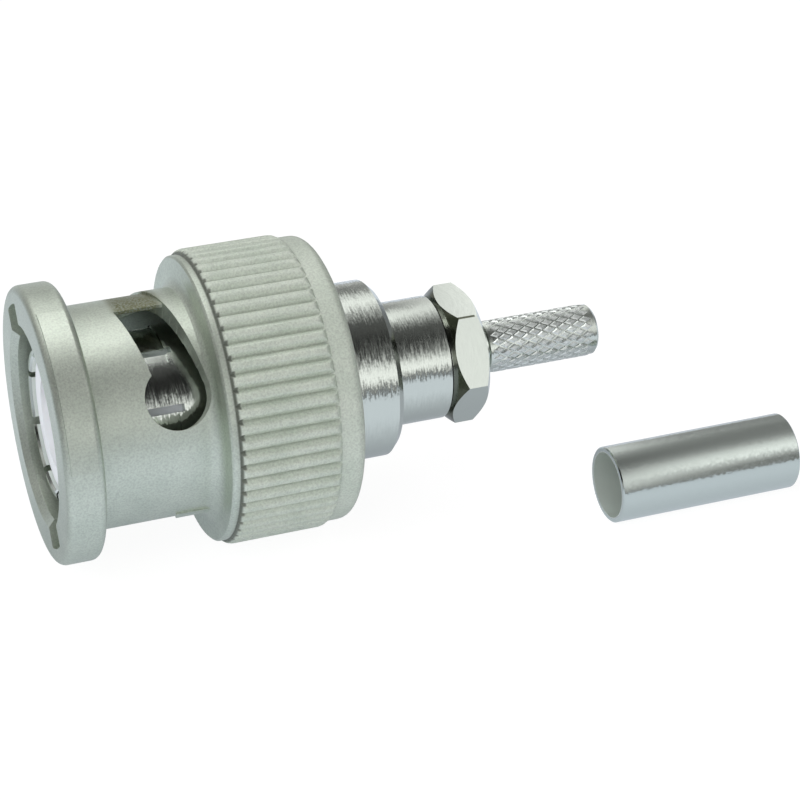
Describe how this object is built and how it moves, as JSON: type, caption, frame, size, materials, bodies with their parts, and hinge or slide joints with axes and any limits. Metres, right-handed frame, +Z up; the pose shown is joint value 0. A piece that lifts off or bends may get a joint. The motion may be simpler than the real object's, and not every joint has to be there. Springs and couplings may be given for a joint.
{
  "type": "bnc connector",
  "caption": "Coaxial bayonet plug for crimp mounting, with a turning fluted coupling nut, slotted outer contact, hexagon, knurled spigot and a loose crimp ferrule.",
  "frame": {"origin": "on the plug's axis, at the mating face of the coupling nut", "axes": "+X along the plug towards the cable end, +Z up as the plug lies on its grip ring, +Y away from the loose ferrule"},
  "size_m": [0.0397, 0.0168, 0.0156],
  "materials": {
    "satin_nickel_casting": "matt satin nickel on a die casting, fine grain",
    "bright_nickel": "bright turned nickel plate, fine ring marks from turning",
    "nickel_tube": "drawn nickel-plated tube, slightly mottled",
    "spring_steel": "plain rolled strip",
    "ptfe": "smooth white, slightly waxy",
    "silicone": "matt moulded rubber",
    "gold_plate": "thin gold plate"
  },
  "bodies": {
    "plug": {"front_body": "bright_nickel", "rear_body": "bright_nickel", "crimp_stem": "bright_nickel", "outer_contact": "bright_nickel", "front_insulator": "ptfe", "rear_insulator": "ptfe", "centre_contact": "gold_plate", "gasket": "silicone", "wave_spring": "spring_steel", "crimp_ferrule": "nickel_tube"},
    "washer": {"thrust_washer": "spring_steel"},
    "nut": {"coupling_nut": "satin_nickel_casting"}
  },
  "joints": [
    {"name": "nut_press", "type": "slide", "parent": "plug", "child": "washer", "axis": [-1, 0, 0], "range_m": [0, 0.0006], "stiffness_N_per_m": 30000, "springref_m": -0.00015, "deforming": ["wave_spring"]},
    {"name": "nut_turn", "type": "hinge", "parent": "washer", "child": "nut", "pos_m": [0, 0, 0], "axis": [1, 0, 0], "continuous": true}
  ]
}
